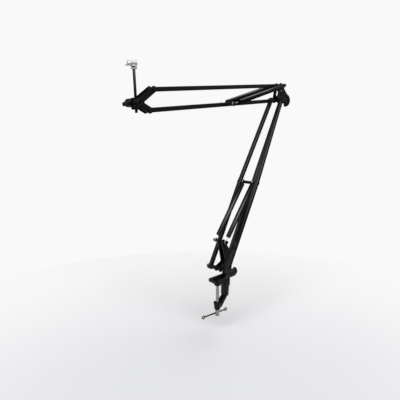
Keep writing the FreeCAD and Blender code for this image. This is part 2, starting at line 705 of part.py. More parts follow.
def wing_nut():
    """The wing nut of the fork's bolt: a round hub and two wings that lean outwards."""
    centre = V(0, 0, ROD_ABOVE + FORK_HOLE_HEIGHT)
    outer = FORK_GAP / 2 + FORK_SHEET + SIDE_PLAY
    nut = rod_along_y(centre, WING_NUT_HUB / 2, outer, outer + WING_NUT_HEIGHT)
    for side in (1, -1):
        root = WING_NUT_HUB / 2 - WING_SHEET
        corners = [
            (centre + V(-WING_SHEET / 2, outer, side * root), WING_ROOT_RADIUS),
            (centre + V(-WING_SHEET / 2, outer + WING_NUT_HEIGHT, side * root), WING_ROOT_RADIUS),
            (centre + V(-WING_SHEET / 2, outer + WING_REACH, side * WING_SPAN / 2), WING_TIP_RADIUS),
            (centre + V(-WING_SHEET / 2, outer + WING_NUT_HEIGHT / 2, side * WING_SPAN / 2), WING_HEEL_RADIUS),
        ]
        nut = nut.fuse(Part.Face(rounded_outline(corners)).extrude(X_AXIS * WING_SHEET))
    bore = rod_along_y(centre, SMALL_BOLT / 2 + 2 * RUNNING_CLEARANCE, outer, outer + WING_REACH)
    nut = turned(nut.cut(bore).removeSplitter(), WING_TURN, Y_AXIS, centre)
    return on_fork(nut)


def jaw_section(x, half_width, edge, crown):
    """A section across the clamp's jaw: flat below, crowned on top."""
    corners = [V(x, -half_width, JAW_PAD), V(x, half_width, JAW_PAD)]
    shoulders = [V(x, half_width, JAW_PAD + edge), V(x, -half_width, JAW_PAD + edge)]
    return Part.Wire([
        Part.makeLine(corners[0], corners[1]),
        Part.makeLine(corners[1], shoulders[0]),
        Part.Arc(shoulders[0], V(x, 0, JAW_PAD + crown), shoulders[1]).toShape(),
        Part.makeLine(shoulders[1], corners[0]),
    ])


def prism(points, half_width):
    """A prism across the clamp from an outline in the XZ plane."""
    corners = [V(x, -half_width, z) for x, z in points]
    return Part.Face(Part.makePolygon(corners + corners[:1])).extrude(Y_AXIS * (2 * half_width))


def clamp_frame():
    """The cast C-frame: crowned jaw, socket for the post, ribbed spine, slanting arm and screw boss."""
    jaw = Part.makeLoft([
        jaw_section(-JAW_REACH, JAW_TIP_HALF_WIDTH, JAW_TIP_EDGE, JAW_TIP_CROWN),
        jaw_section(0, JAW_ROOT_HALF_WIDTH, JAW_ROOT_EDGE, JAW_ROOT_CROWN),
    ], True, True)
    tip_edges = [
        e for e in jaw.Edges
        if abs(e.Length - JAW_TIP_EDGE) < 1e-6 and abs(e.CenterOfMass.x + JAW_REACH) < 1e-6
    ]
    jaw = jaw.makeFillet(JAW_TIP_ROUND, tip_edges)
    socket = Part.makeCylinder(SOCKET_DIAMETER / 2, SOCKET_TOP - SOCKET_BOTTOM, V(0, 0, SOCKET_BOTTOM))
    spine = prism([
        (-SPINE_FRONT, JAW_PAD + JAW_ROOT_EDGE),
        (SPINE_BACK_TOP, JAW_PAD + JAW_ROOT_EDGE),
        (SPINE_BACK_BOTTOM, SPINE_BOTTOM),
        (-SPINE_FRONT, SPINE_BOTTOM),
    ], SPINE_HALF_WIDTH)
    boss_bottom = BOSS_TOP - BOSS_LENGTH
    rib = prism([
        (-SPINE_FRONT, JAW_PAD),
        (RIB_BACK, JAW_PAD),
        (RIB_BACK + SPINE_BACK_BOTTOM - SPINE_BACK_TOP, SPINE_BOTTOM),
        (-SCREW_DISTANCE, boss_bottom + BOSS_LENGTH / 4),
        (-SCREW_DISTANCE, BOSS_TOP - SHEET),
        (-SPINE_FRONT, SPINE_BOTTOM),
    ], RIB_HALF_WIDTH)
    slant = prism([
        (-SPINE_FRONT, SPINE_BOTTOM),
        (SPINE_BACK_BOTTOM, SPINE_BOTTOM),
        (-SCREW_DISTANCE + BOSS_BOTTOM_DIAMETER / 2, boss_bottom + BOSS_LENGTH / 4),
        (-SCREW_DISTANCE + BOSS_TOP_DIAMETER / 4, BOSS_TOP - SHEET),
    ], ELBOW_ARM_HALF_WIDTH)
    boss = Part.makeCone(
        BOSS_BOTTOM_DIAMETER / 2, BOSS_TOP_DIAMETER / 2, BOSS_LENGTH, V(-SCREW_DISTANCE, 0, boss_bottom)
    )
    frame = jaw.fuse([socket, spine, rib, slant, boss])
    post_radius = POST_DIAMETER / 2 + RUNNING_CLEARANCE
    frame = frame.cut(
        Part.makeCylinder(post_radius, SOCKET_TOP - SOCKET_BOTTOM, V(0, 0, SOCKET_BOTTOM + POST_FLOOR))
    )
    screw_radius = SCREW_DIAMETER / 2 + RUNNING_CLEARANCE
    frame = frame.cut(
        Part.makeCylinder(screw_radius, 2 * BOSS_LENGTH, V(-SCREW_DISTANCE, 0, boss_bottom - BOSS_LENGTH / 2))
    )
    return on_clamp(frame.removeSplitter())


def on_clamp(shape):
    """Moves a clamp piece made round the origin to the swivel axis, turned a little to the side."""
    moved = turned(shape, CLAMP_TURN, Z_AXIS, V(0, 0, 0))
    moved.translate(SWIVEL)
    return moved


def jaw_pad():
    """The soft pad under the jaw, which rests on the table top."""
    tip = -JAW_REACH + PAD_MARGIN
    root = -SOCKET_DIAMETER / 2 - PAD_MARGIN
    width = JAW_ROOT_HALF_WIDTH
    corners = [
        (V(tip, -width - PAD_MARGIN, 0), PAD_MARGIN),
        (V(root, -width, 0), PAD_MARGIN),
        (V(root, width, 0), PAD_MARGIN),
        (V(tip, width + PAD_MARGIN, 0), PAD_MARGIN),
    ]
    return on_clamp(Part.Face(rounded_outline(corners)).extrude(Z_AXIS * JAW_PAD))


def clamp_screw():
    """The clamp's screw: a neck for the pad, the thread and a round head drilled across for the bar."""
    top = -PAD_GAP - PAD_HEIGHT - SIDE_PLAY
    head_top = BOSS_TOP - BOSS_LENGTH - SCREW_HEAD_GAP
    axis = V(-SCREW_DISTANCE, 0, 0)
    thread = Part.makeCylinder(SCREW_DIAMETER / 2, top - head_top, axis + Z_AXIS * head_top)
    neck = Part.makeCylinder(SCREW_NECK / 2, SCREW_NECK_HEIGHT + SIDE_PLAY, axis + Z_AXIS * top)
    head = Part.makeCylinder(
        SCREW_HEAD_DIAMETER / 2, SCREW_HEAD_LENGTH, axis + Z_AXIS * (head_top - SCREW_HEAD_LENGTH)
    )
    cross = Part.makeCylinder(
        TOMMY_DIAMETER / 2 + RUNNING_CLEARANCE, 2 * SCREW_HEAD_DIAMETER,
        tommy_centre() - X_AXIS * SCREW_HEAD_DIAMETER, X_AXIS,
    )
    return on_clamp(thread.fuse([neck, head]).cut(cross))


def tommy_centre():
    """The middle of the screw head, where the bar passes through it."""
    return V(-SCREW_DISTANCE, 0, BOSS_TOP - BOSS_LENGTH - SCREW_HEAD_GAP - SCREW_HEAD_LENGTH / 2)


def swivel_pad():
    """The round pad on the screw's neck."""
    bottom = V(-SCREW_DISTANCE, 0, -PAD_GAP - PAD_HEIGHT)
    pad = Part.makeCylinder(PAD_DIAMETER / 2, PAD_HEIGHT, bottom)
    socket = Part.makeCylinder(SCREW_NECK / 2 + RUNNING_CLEARANCE, SCREW_NECK_HEIGHT + SIDE_PLAY, bottom)
    return on_clamp(pad.cut(socket))


def bar_eye(centre):
    """A ring with softened rims, for the end of the bar."""
    half = TOMMY_EYE_WIRE / 2
    straight = half - TOMMY_EYE_CHAMFER
    outer = TOMMY_EYE_RADIUS + half
    eye = rod_along_y(centre, outer, centre.y - straight, centre.y + straight)
    for side in (1, -1):
        rim = at(centre, centre.y + side * straight)
        eye = eye.fuse(Part.makeCone(outer, outer - TOMMY_EYE_CHAMFER, TOMMY_EYE_CHAMFER, rim, Y_AXIS * side))
    return eye.cut(rod_along_y(centre, TOMMY_EYE_RADIUS - half, centre.y - half, centre.y + half))


def tommy_bar():
    """The sliding bar of the screw, a wire bent to an eye at each end."""
    middle = tommy_centre() - X_AXIS * TOMMY_OFFSET
    half = TOMMY_SPAN / 2
    start = middle - X_AXIS * (half - TOMMY_EYE_RADIUS)
    bar = Part.makeCylinder(TOMMY_DIAMETER / 2, 2 * (half - TOMMY_EYE_RADIUS), start, X_AXIS)
    for side in (1, -1):
        bar = bar.fuse(bar_eye(middle + X_AXIS * (side * half)))
    return on_clamp(bar)


def inner_spacer(point, size):
    """A spacer that fills the room between two cheeks where no bar does."""
    return ring_along_y(point, size / 2 + RUNNING_CLEARANCE, size / 2 + SPACER_WALL, -CHEEK_INNER, CHEEK_INNER)


# All pieces, under the names of their files
pieces = {
    "clamp_frame": [clamp_frame()],
    "jaw_pad": [jaw_pad()],
    "clamp_screw": [clamp_screw()],
    "swivel_pad": [swivel_pad()],
    "tommy_bar": [tommy_bar()],
    "base_bracket": [base_bracket()],
    "swivel_post": [swivel_post()],
}

base_seat = seat_of_knob(BASE_SPREAD)
pieces["base_pivot_bolt"] = [pivot_bolt(BASE_PIVOT, base_seat, SIDE_PLAY - base_seat - KNOB_BORE_DEPTH)]
pieces["base_knob"] = [wing_knob(BASE_PIVOT, -base_seat - SIDE_PLAY, -1, BASE_KNOB_TURN, MAIN_BOLT)]
pieces["base_spacers"] = main_spacers(BASE_PIVOT, BASE_SPREAD) + [inner_spacer(BASE_PIVOT, MAIN_BOLT)]
pieces["base_bolt_washers"] = outer_washers(BASE_PIVOT, BASE_SPREAD)
pieces["base_rear_bolt"] = [bracket_bolt(BASE_REAR, SMALL_BOLT)]
pieces["base_rear_nut"] = [bracket_nut(BASE_REAR, SMALL_BOLT)]
pieces["base_rear_washers"] = bracket_washers(BASE_REAR, SMALL_BOLT)
pieces["spring_anchor_pins"] = [anchor_pin(1), anchor_pin(-1)]

pieces["outer_bar_plugs"] = []
for name, side in (("far", 1), ("near", -1)):
    bar, plugs = outer_bar(side)
    pieces["outer_bar_" + name] = [bar]
    pieces["outer_bar_plugs"] += plugs
bolts = [(BASE_REAR, SMALL_BOLT), (ELBOW_REAR, SMALL_BOLT)]
bar, plugs = straight_bar(BASE_REAR, ELBOW_REAR, bolts)
pieces["centre_bar"] = [bar]
pieces["centre_bar_plugs"] = plugs
pieces["spreader_pin"] = [spreader_pin()]

sleeves, springs, hooks = spring_set(
    MID_PIN, SPREADER_DIAMETER, ANCHOR, LOWER_SPRING_OFFSET, LOWER_MOUTH_GAP, LOWER_HOOK_LENGTH
)
for k, name in enumerate(("far", "near")):
    pieces["lower_sleeve_" + name] = [sleeves[k]]
pieces["lower_springs"] = springs
pieces["lower_spring_hooks"] = hooks

elbow_far, elbow_near = elbow_cheeks()
elbow_seat = seat_of_knob(ELBOW_SPREAD)
pieces["elbow_cheek_far"] = [elbow_far]
pieces["elbow_cheek_near"] = [elbow_near]
pieces["elbow_pivot_bolt"] = [pivot_bolt(ELBOW, elbow_seat, SIDE_PLAY - elbow_seat - KNOB_BORE_DEPTH)]
pieces["elbow_knob"] = [wing_knob(ELBOW, -elbow_seat - SIDE_PLAY, -1, ELBOW_KNOB_TURN, MAIN_BOLT)]
pieces["elbow_spacers"] = main_spacers(ELBOW, ELBOW_SPREAD)
pieces["elbow_bolt_washers"] = outer_washers(ELBOW, ELBOW_SPREAD)
pieces["elbow_rear_bolt"] = [bracket_bolt(ELBOW_REAR, SMALL_BOLT)]
pieces["elbow_rear_nut"] = [bracket_nut(ELBOW_REAR, SMALL_BOLT)]
elbow_top_half = UPPER_SPRING_OFFSET + SPRING_WIRE + PIN_CAP_HEIGHT
pieces["elbow_top_bolt"] = [capped_pin(ELBOW_TOP, SMALL_BOLT, elbow_top_half)]
pieces["elbow_washers"] = (
    bracket_washers(ELBOW, MAIN_BOLT)
    + bracket_washers(ELBOW_REAR, SMALL_BOLT)
    + bracket_washers(ELBOW_TOP, SMALL_BOLT)
)

bolts = [(ELBOW, MAIN_BOLT), (SPRING_PIN, SMALL_BOLT), (HEAD_LOW, SMALL_BOLT)]
bar, plugs = straight_bar(ELBOW, HEAD_LOW, bolts)
pieces["upper_arm_bottom_bar"] = [bar]
pieces["bottom_bar_plugs"] = plugs
bolts = [(ELBOW_TOP, SMALL_BOLT), (HEAD_TOP, SMALL_BOLT)]
bar, plugs = straight_bar(ELBOW_TOP, HEAD_TOP, bolts)
pieces["upper_arm_top_bar"] = [bar]
pieces["top_bar_plugs"] = plugs
pieces["upper_spring_pin"] = [capped_pin(SPRING_PIN, SMALL_BOLT, elbow_top_half)]

sleeves, springs, hooks = spring_set(
    ELBOW_TOP, SMALL_BOLT, SPRING_PIN, UPPER_SPRING_OFFSET, UPPER_MOUTH_GAP, UPPER_HOOK_LENGTH
)
for k, name in enumerate(("far", "near")):
    pieces["upper_sleeve_" + name] = [sleeves[k]]
pieces["upper_springs"] = springs
pieces["upper_spring_hooks"] = hooks

head_far, head_near = head_cheeks()
head_seat = CHEEK_OUTER + SIDE_PLAY
pieces["head_cheek_far"] = [head_far]
pieces["head_cheek_near"] = [head_near]
pieces["head_bolts"] = [bracket_bolt(HEAD_TOP, SMALL_BOLT), bracket_bolt(HEAD_LOW, SMALL_BOLT)]
pieces["head_nuts"] = [bracket_nut(HEAD_TOP, SMALL_BOLT), bracket_nut(HEAD_LOW, SMALL_BOLT)]
pieces["head_washers"] = bracket_washers(HEAD_TOP, SMALL_BOLT) + bracket_washers(HEAD_LOW, SMALL_BOLT)
pieces["rod_clamp_bolt"] = [rod_clamp_bolt()]
pieces["rod_clamp_block"] = [rod_clamp_block()]
pieces["rod_clamp_washer"] = [ring_along_y(
    HEAD_HUB, CLAMP_BOLT_THREAD / 2 + RUNNING_CLEARANCE, CLAMP_BOLT / 2 + CLAMP_BOLT_RIM,
    head_seat, head_seat + STEEL_WASHER,
)]
pieces["head_knob"] = [wing_knob(
    HEAD_HUB, head_seat + STEEL_WASHER + SIDE_PLAY, 1, HEAD_KNOB_TURN, CLAMP_BOLT_THREAD
)]
pieces["mic_rod"] = [mic_rod()]
pieces["mic_fork"] = [mic_fork()]
pieces["rod_nut"] = [rod_nut()]
pieces["fork_bolt"] = [fork_bolt()]
pieces["wing_nut"] = [wing_nut()]

os.makedirs("parts", exist_ok=True)
for name, solids in pieces.items():
    shape = solids[0] if len(solids) == 1 else Part.makeCompound(solids)
    if not shape.isValid() or any(not s.isClosed() for s in shape.Shells):
        print("not sound:", name)
    shape.exportStep("parts/" + name + ".step")
print(len(pieces), "nodes,", sum(len(p) for p in pieces.values()), "solids")
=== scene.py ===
# %% [markdown]
# A desk boom arm for a microphone: a table clamp, two sprung arms of square tube, and a rod with a fork.
# The frame comes first. It brings every solid of the arm in its real place, in metres, so nothing here
# has to be fitted by eye.

# %% Load the frame
import json
import math
import bmesh
import bpy
from mathutils import Matrix, Vector


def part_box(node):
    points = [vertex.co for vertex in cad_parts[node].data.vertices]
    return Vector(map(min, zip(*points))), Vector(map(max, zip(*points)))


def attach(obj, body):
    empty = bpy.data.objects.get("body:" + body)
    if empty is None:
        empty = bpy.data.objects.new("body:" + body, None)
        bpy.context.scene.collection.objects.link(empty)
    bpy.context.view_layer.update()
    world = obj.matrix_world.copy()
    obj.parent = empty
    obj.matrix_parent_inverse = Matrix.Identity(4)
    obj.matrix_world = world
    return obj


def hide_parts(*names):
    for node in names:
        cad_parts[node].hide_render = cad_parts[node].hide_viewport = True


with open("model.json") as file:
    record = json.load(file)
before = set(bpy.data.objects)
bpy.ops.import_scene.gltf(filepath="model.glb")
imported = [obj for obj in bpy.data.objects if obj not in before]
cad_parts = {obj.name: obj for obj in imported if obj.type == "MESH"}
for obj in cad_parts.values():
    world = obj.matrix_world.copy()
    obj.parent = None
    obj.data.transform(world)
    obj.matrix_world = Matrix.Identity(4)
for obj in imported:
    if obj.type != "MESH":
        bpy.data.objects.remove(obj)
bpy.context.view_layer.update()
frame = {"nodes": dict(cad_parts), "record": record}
nodes = frame["nodes"]

# %% [markdown]
# The camera comes next, because it decides what shows. It stands a little above the elbow, in front of the
# arm and to the left, so both arms are seen at a slant. The lens is a normal one, and the frame is square.
# A constraint could aim the camera, but a turn worked out once is simpler, and the lamps can use it too.

# %% Camera
CAMERA_SPOT = Vector((-0.6136, -0.4777, 0.3157))
CAMERA_AIM = Vector((-0.0548, 0.0, 0.1692))
SENSOR_WIDTH = 36.0
LENS = 38.96


def towards_arm(spot):
    """The turn of a camera or lamp that looks from a spot at the middle of the arm."""
    return (CAMERA_AIM - spot).to_track_quat("-Z", "Y").to_euler()


camera_data = bpy.data.cameras.new("camera")
camera_data.sensor_width = SENSOR_WIDTH
camera_data.lens = LENS
camera = bpy.data.objects.new("camera", camera_data)
camera.location = CAMERA_SPOT
camera.rotation_euler = towards_arm(CAMERA_SPOT)
bpy.context.scene.collection.objects.link(camera)
bpy.context.scene.camera = camera
print("camera", round((CAMERA_AIM - CAMERA_SPOT).length, 3), "m from the arm")

# %% [markdown]
# The stage is a round, pale floor under the clamp. Its rim has nearly the tone of the backdrop, so the floor
# fades out without a wall or a curved sheet behind it. A plane would do, but its corners would show.

# %% Floor
FLOOR_HEIGHT = -0.101
FLOOR_MIDDLE = Vector((-0.2, -0.15, FLOOR_HEIGHT))
FLOOR_RADIUS = 0.75
FLOOR_SIDES = 128
floor_mesh = bpy.data.meshes.new("floor")
floor_shape = bmesh.new()
bmesh.ops.create_circle(
    floor_shape, cap_ends=True, segments=FLOOR_SIDES, radius=FLOOR_RADIUS,
    matrix=Matrix.Translation(FLOOR_MIDDLE),
)
floor_shape.to_mesh(floor_mesh)
floor_shape.free()
floor = bpy.data.objects.new("floor", floor_mesh)
bpy.context.scene.collection.objects.link(floor)
print("floor at", FLOOR_HEIGHT, "m")

# %% [markdown]
# Floor, surround and finishes are all made of shader nodes, and two steps come back in each: carry a value
# from one span to another, and mix two values. Written out, each takes five lines or more, so here are
# helpers. An input takes either a plain value or another node's output.

# %% Helpers for nodes
def feed(tree, socket, value):
    """Links an input to another node's output, or sets it to a plain value."""
    if isinstance(value, bpy.types.NodeSocket):
        tree.links.new(value, socket)
    else:
        socket.default_value = value


def map_range(tree, value, span, result=(0.0, 1.0), interpolation="LINEAR"):
    """A value carried from one span of numbers to another."""
    node = tree.nodes.new("ShaderNodeMapRange")
    node.interpolation_type = interpolation
    labels = ("Value", "From Min", "From Max", "To Min", "To Max")
    for label, number in zip(labels, (value, *span, *result)):
        feed(tree, node.inputs[label], number)
    return node.outputs["Result"]


def mix(tree, kind, factor, first, second):
    """A number or colour between two others."""
    node = tree.nodes.new("ShaderNodeMix")
    node.data_type = kind
    for label, value in zip(("Factor", "A", "B"), (factor, first, second)):
        feed(tree, node.inputs[label], value)
    return node.outputs["Result"]


print("helpers for nodes ready")

# %% [markdown]
# The floor is matt, and its colour is painted a little greyer near the arm, as shade that fades out towards the
# rim. The arm is black and shows what it mirrors, and a pale floor all round would make its near sides grey. So
# the right side of the floor is dark, but only for mirrored rays, as if the sheet ended there. The Light Path
# node tells those rays from the camera's.

# %% Floor paint
PAINTED_SHADE_SPAN = (0.1, 0.7)
# Painted shade: the near floor tone is darker, and it fades to the plain far tone with distance from the floor's
# middle.
NEAR_FLOOR_PAINTED_SHADE = (0.582, 0.586, 0.603, 1)
FAR_FLOOR = (0.687, 0.687, 0.69, 1)
MIRRORED_FLOOR = (0.13, 0.13, 0.133, 1)
MIRROR_FADE = (0.1, 0.28)
floor_paint = bpy.data.materials.new("floor_paint")
floor_paint.use_nodes = True
floor_mesh.materials.append(floor_paint)
floor_tree = floor_paint.node_tree
floor_place = floor_tree.nodes.new("ShaderNodeTexCoord").outputs["Object"]
distance = floor_tree.nodes.new("ShaderNodeVectorMath")
distance.operation = "DISTANCE"
distance.inputs[1].default_value = FLOOR_MIDDLE
floor_tree.links.new(floor_place, distance.inputs[0])
# How far the painted shade reaches: full under the arm, gone towards the rim.
painted_shade_fade = map_range(floor_tree, distance.outputs["Value"], PAINTED_SHADE_SPAN, interpolation="SMOOTHSTEP")
floor_tint_with_painted_shade = mix(floor_tree, "RGBA", painted_shade_fade, NEAR_FLOOR_PAINTED_SHADE, FAR_FLOOR)
floor_axes = floor_tree.nodes.new("ShaderNodeSeparateXYZ")
floor_tree.links.new(floor_place, floor_axes.inputs["Vector"])
floor_mirrored = floor_tree.nodes.new("ShaderNodeLightPath").outputs["Is Glossy Ray"]
floor_side = map_range(floor_tree, floor_axes.outputs["X"], MIRROR_FADE, (0.0, floor_mirrored))
floor_colour = mix(floor_tree, "RGBA", floor_side, floor_tint_with_painted_shade, MIRRORED_FLOOR)
floor_shader = floor_tree.nodes["Principled BSDF"]
floor_shader.inputs["Roughness"].default_value = 1.0
floor_shader.inputs["Specular IOR Level"].default_value = 0.0
floor_tree.links.new(floor_colour, floor_shader.inputs["Base Color"])
print("floor paint of", len(floor_tree.nodes), "nodes")

# %% [markdown]
# The surround is what the black paint mirrors. It could be a picture of a room, but three bands by height are
# enough: dark ground, a paler wall and a dark ceiling. The direction of a ray gives the height.

# %% Room
GROUND_FADE = (-0.07, 0.07)
GROUND_LIGHT = 0.05
WALL_FADE = (0.2, 0.45)
WALL_LIGHT = 0.6
CEILING_LIGHT = 0.06


def calculate(tree, operation, *values):
    """The result of one sum."""
    node = tree.nodes.new("ShaderNodeMath")
    node.operation = operation
    for socket, value in zip(node.inputs, values):
        feed(tree, socket, value)
    return node.outputs["Value"]


world = bpy.data.worlds.new("studio")
world.use_nodes = True
bpy.context.scene.world = world
studio = world.node_tree
axes = studio.nodes.new("ShaderNodeSeparateXYZ")
studio.links.new(studio.nodes.new("ShaderNodeTexCoord").outputs["Generated"], axes.inputs["Vector"])
to_right, upward = axes.outputs["X"], axes.outputs["Z"]
wall = map_range(studio, upward, WALL_FADE, (WALL_LIGHT, CEILING_LIGHT))
ground = map_range(studio, upward, GROUND_FADE, (GROUND_LIGHT, 1.0))
room = calculate(studio, "MULTIPLY", wall, ground)
print("room light from", GROUND_LIGHT * WALL_LIGHT, "at the ground to", WALL_LIGHT, "at the wall")

# %% [markdown]
# Mirrored rays see a little more than that: less wall on the right, and a window high on the left, which lays a
# soft grey on the leaning tubes. A bright card beside the arm could do the same, but it would also light
# the pieces that should stay dark. A colour ramp over the height gives the window soft edges.

# %% Window
SIDE_FADE = (-0.2, 0.5)
RIGHT_SHEEN = 0.45
WINDOW_HEIGHTS = ((0.44, 0), (0.54, 1), (0.7, 1), (0.8, 0))
WINDOW_FADE = (-0.5, -0.2)
WINDOW_LIGHT = 1.1
side_wall = map_range(studio, to_right, SIDE_FADE, (1.0, RIGHT_SHEEN))
sheen = calculate(studio, "MULTIPLY", room, side_wall)
window = studio.nodes.new("ShaderNodeValToRGB")
for height, light in WINDOW_HEIGHTS[1:-1]:
    window.color_ramp.elements.new(height)
for element, (height, light) in zip(window.color_ramp.elements, WINDOW_HEIGHTS):
    element.position = height
    element.color = (light, light, light, 1)
studio.links.new(upward, window.inputs["Fac"])
window_side = map_range(studio, to_right, WINDOW_FADE, (WINDOW_LIGHT, 0.0))
mirrored = calculate(studio, "MULTIPLY_ADD", window.outputs["Color"], window_side, sheen)
print("window with", len(window.color_ramp.elements), "stops")

# %% [markdown]
# The camera sees none of this, only an even, pale backdrop. Light Path picks again: the backdrop for the
# camera's rays, the room with its window for mirrored rays, and the plain room for all other light.

# %% Backdrop
WHITE = (1, 1, 1, 1)
BACKDROP = (0.945, 0.945, 0.95, 1)
seen = studio.nodes.new("ShaderNodeLightPath")
surround = studio.nodes["Background"]
surround.inputs["Color"].default_value = WHITE
strength = mix(studio, "FLOAT", seen.outputs["Is Glossy Ray"], room, mirrored)
studio.links.new(strength, surround.inputs["Strength"])
backdrop = studio.nodes.new("ShaderNodeBackground")
backdrop.inputs["Color"].default_value = BACKDROP
either = studio.nodes.new("ShaderNodeMixShader")
studio.links.new(seen.outputs["Is Camera Ray"], either.inputs["Fac"])
studio.links.new(surround.outputs["Background"], either.inputs[1])
studio.links.new(backdrop.outputs["Background"], either.inputs[2])
studio.links.new(either.outputs["Shader"], studio.nodes["World Output"].inputs["Surface"])
bpy.context.scene.view_settings.view_transform = "Standard"
print("surround of", len(studio.nodes), "nodes")

# %% [markdown]
# Four softboxes light the arm. Area lamps would do, but they light the near end of a long arm more than the
# far one. Sun lamps with a wide disc are even all along, and their shadows are as soft. Each round piece then
# gets a broad, quiet line of light along its upper side.

# %% Softboxes
SOFTBOXES = (
    # name, way from the arm, power, width of the disc in degrees
    ("left_softbox", (-0.51, -0.15, 0.85), 1.35, 30),
    ("front_softbox", (-0.34, -0.57, 0.75), 1.42, 30),
    ("low_softbox", (-0.09, -0.87, 0.49), 1.35, 30),
    ("right_softbox", (0.54, -0.06, 0.84), 1.25, 40),
)
for name, way, power, width in SOFTBOXES:
    lamp = bpy.data.lights.new(name, "SUN")
    lamp.energy = power
    lamp.angle = math.radians(width)
    holder = bpy.data.objects.new(name, lamp)
    spot = CAMERA_AIM + Vector(way)
    holder.location = spot
    holder.rotation_euler = towards_arm(spot)
    bpy.context.scene.collection.objects.link(holder)
print(len(SOFTBOXES), "softboxes")

# %% [markdown]
# Every finish on the arm has two things in common: a fine grain, from the powder coat, the mould or the
# plating, and broad, faint patches. Both are noise in the piece's own space, so they are built once, as a node
# group, and each material places that group with its own sizes.

# %% Shared grain
GRAIN_DETAIL = 2.0
PATCH_DETAIL = 5.0
grain_group = bpy.data.node_groups.new("surface_grain", "ShaderNodeTree")
for label, way, kind in (
    ("Vector", "INPUT", "NodeSocketVector"),
    ("Grain Scale", "INPUT", "NodeSocketFloat"),
    ("Patch Scale", "INPUT", "NodeSocketFloat"),
    ("Grain", "OUTPUT", "NodeSocketFloat"),
    ("Patches", "OUTPUT", "NodeSocketFloat"),
):
    grain_group.interface.new_socket(label, in_out=way, socket_type=kind)
start = grain_group.nodes.new("NodeGroupInput")
end = grain_group.nodes.new("NodeGroupOutput")
for scale, detail, result in (("Grain Scale", GRAIN_DETAIL, "Grain"), ("Patch Scale", PATCH_DETAIL, "Patches")):
    noise = grain_group.nodes.new("ShaderNodeTexNoise")
    noise.inputs["Detail"].default_value = detail
    grain_group.links.new(start.outputs["Vector"], noise.inputs["Vector"])
    grain_group.links.new(start.outputs[scale], noise.inputs["Scale"])
    grain_group.links.new(noise.outputs["Fac"], end.inputs[result])
print("node group", grain_group.name)

# %% [markdown]
# A finish is one Principled shader. Its colour and roughness drift between two values over the patches and the
# grain, and the grain also lifts the surface, by two thousandths to a tenth of a millimetre, which breaks up
# the highlights as real powder coat, moulded plastic and plating do. What is the same all over is set on the
# shader itself. The finishes that aren't metal also tint what they mirror a little cool.

# %% How a finish is made
BLACK_SHEEN = (0.93, 0.87, 1.0, 1)
GRAIN_SPAN = (0.3, 0.7)
BUMP_STRENGTH = 0.6


def finish(
    slot, dark, light, rough, spread, grain, patch, lift, stretch=(1, 1, 1), metallic=0.0, specular=0.5
):
    """A material: two colours, roughness and its spread, then grain, patch and lift in metres."""
    material = bpy.data.materials.new(slot)
    material.use_nodes = True
    tree = material.node_tree
    shader = tree.nodes["Principled BSDF"]
    shader.inputs["Metallic"].default_value = metallic
    shader.inputs["Specular IOR Level"].default_value = specular
    if metallic == 0.0:
        shader.inputs["Specular Tint"].default_value = BLACK_SHEEN
    place = tree.nodes.new("ShaderNodeTexCoord")
    mapping = tree.nodes.new("ShaderNodeMapping")
    mapping.inputs["Scale"].default_value = stretch
    tree.links.new(place.outputs["Object"], mapping.inputs["Vector"])
    surface = tree.nodes.new("ShaderNodeGroup")
    surface.node_tree = grain_group
    surface.inputs["Grain Scale"].default_value = 1 / grain
    surface.inputs["Patch Scale"].default_value = 1 / patch
    tree.links.new(mapping.outputs["Vector"], surface.inputs["Vector"])
    tint = mix(tree, "RGBA", surface.outputs["Patches"], (*dark, 1), (*light, 1))
    tree.links.new(tint, shader.inputs["Base Color"])
    gloss = map_range(tree, surface.outputs["Grain"], GRAIN_SPAN, (rough - spread, rough + spread))
    tree.links.new(gloss, shader.inputs["Roughness"])
    bump = tree.nodes.new("ShaderNodeBump")
    bump.inputs["Strength"].default_value = BUMP_STRENGTH
    bump.inputs["Distance"].default_value = lift
    tree.links.new(surface.outputs["Grain"], bump.inputs["Height"])
    tree.links.new(bump.outputs["Normal"], shader.inputs["Normal"])
    return material


print("sheen of the black finishes", BLACK_SHEEN[:3])

# %% [markdown]
# The arm is nearly all black, and its blacks differ by gloss more than by colour: satin paint on the tubes, a
# duller casting at the clamp, smooth sleeves, soft rubber and nylon. The bright metals are few: the clamp
# screw and its bar, the rod, the fork and the springs. The rod's grain is drawn out along its length, as on
# ground bar. One table holds all the numbers, so two finishes are easy to compare.

# %% Finishes
def grey(value, warmth=0.0):
    """A grey, a little warmer or cooler."""
    return (value * (1 + warmth), value, value * (1 - warmth))


